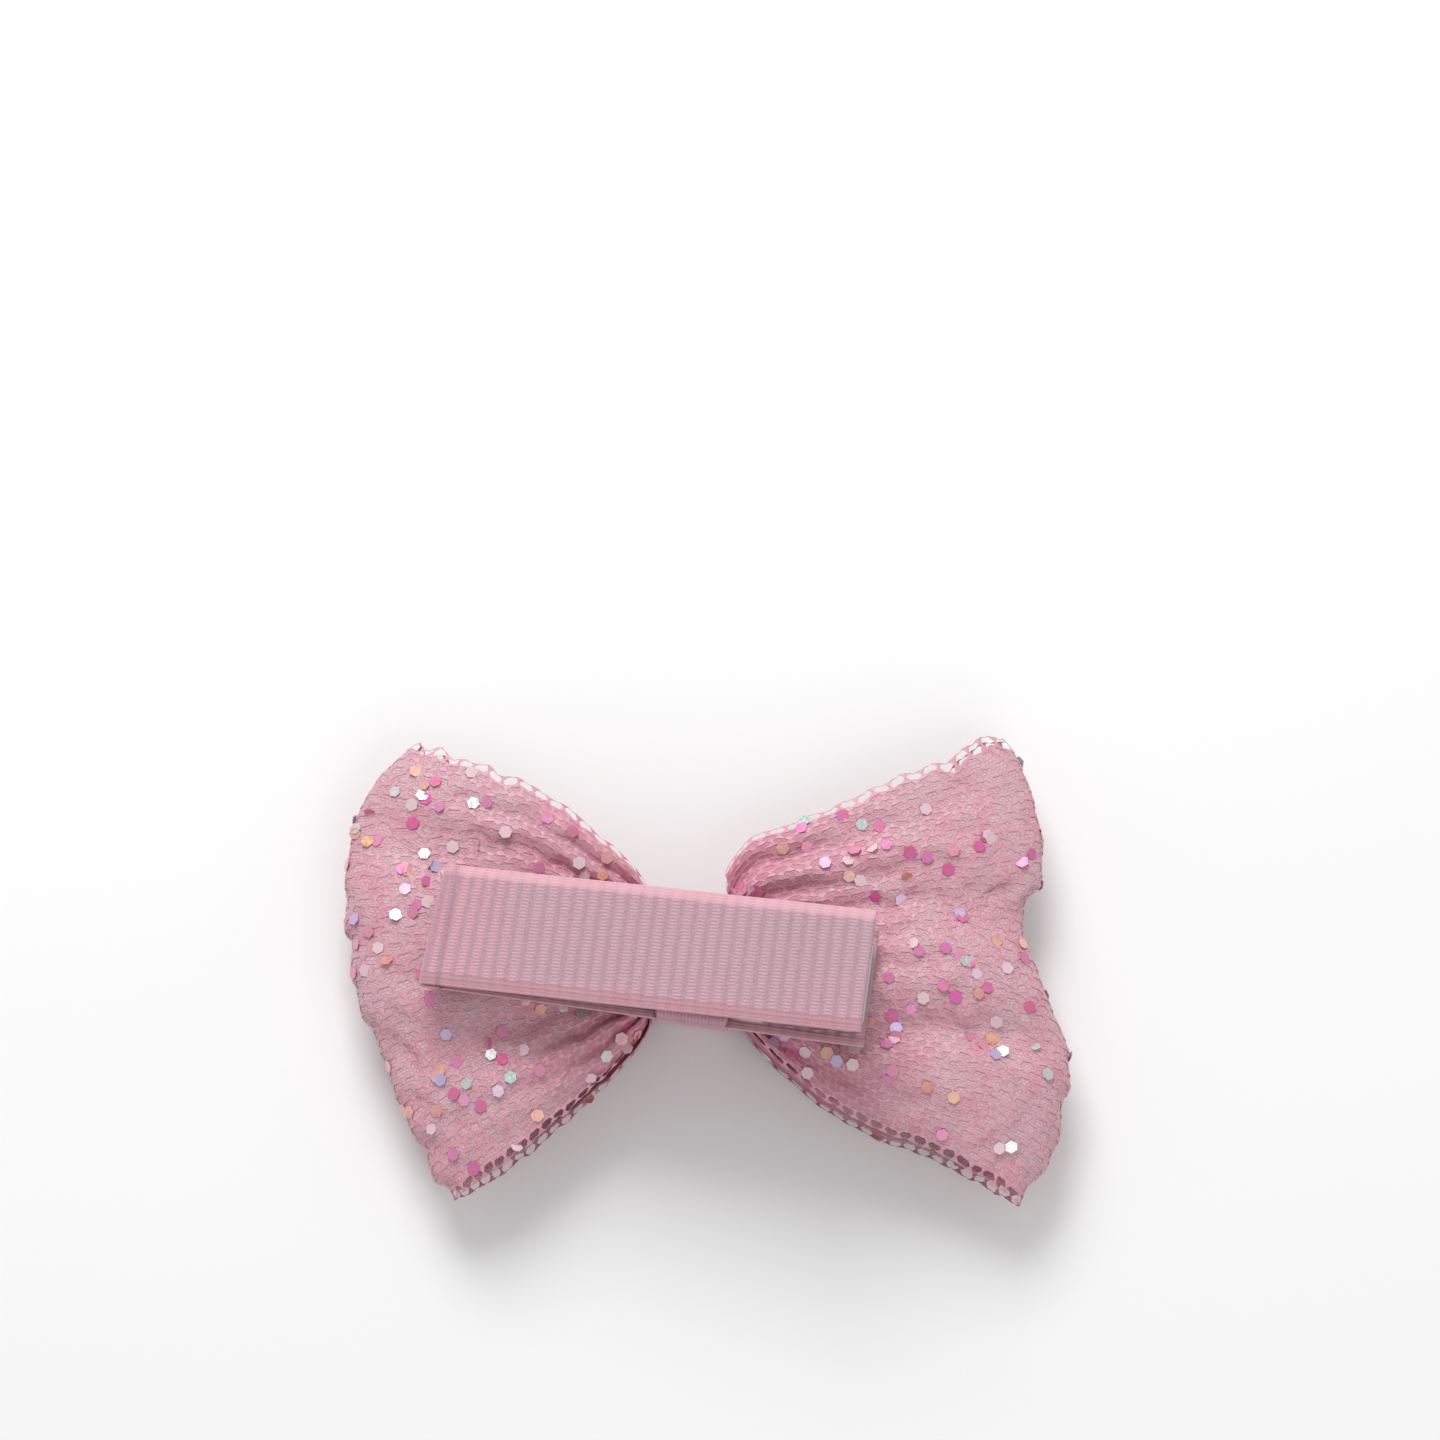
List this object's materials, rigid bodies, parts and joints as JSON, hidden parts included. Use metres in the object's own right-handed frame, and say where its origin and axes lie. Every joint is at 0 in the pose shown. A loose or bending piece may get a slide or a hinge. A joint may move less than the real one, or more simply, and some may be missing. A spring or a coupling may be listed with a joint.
{
  "type": "hair bow",
  "caption": "Looped bow of gathered net over a backing, wrapped at the waist, on a ribbon-lined spring alligator clip.",
  "frame": {"origin": "centre of the footprint, on the surface that the bow lies on face down", "axes": "+X along the bow from the jaws' tip end to the hinge end, +Y up the bow's height, +Z out of its back, towards the clip"},
  "size_m": [0.0595, 0.0391, 0.0165],
  "materials": {
    "net": "translucent pink net",
    "glitter": "iridescent hexagonal flakes",
    "backing": "matt saturated pink cloth",
    "ribbon": "ribbed dusty pink grosgrain",
    "thread": "twisted sewing thread",
    "glue": "hot-melt glue",
    "clip_steel": "nickel-plated stamped steel",
    "spring_steel": "bright wire"
  },
  "bodies": {
    "bow": {"net_strip": "net", "backing_strip": "backing", "centre_wrap": "ribbon", "gathering_thread": "thread", "glue_pad": "glue", "base_arm": "clip_steel", "base_arm_ribbon": "ribbon", "hinge_pin": "spring_steel", "torsion_spring": "spring_steel"},
    "jaw": {"pivot_arm": "clip_steel", "pivot_arm_ribbon": "ribbon"}
  },
  "joints": [
    {"name": "jaw_hinge", "type": "hinge", "parent": "bow", "child": "jaw", "pos_m": [0.00425, -0.00126, 0.0122], "axis": [0.1392, 0.9903, 0], "range_deg": [0, 24], "stiffness_Nm_per_rad": 0.01, "springref_deg": -37.24, "deforming": ["torsion_spring"]}
  ]
}
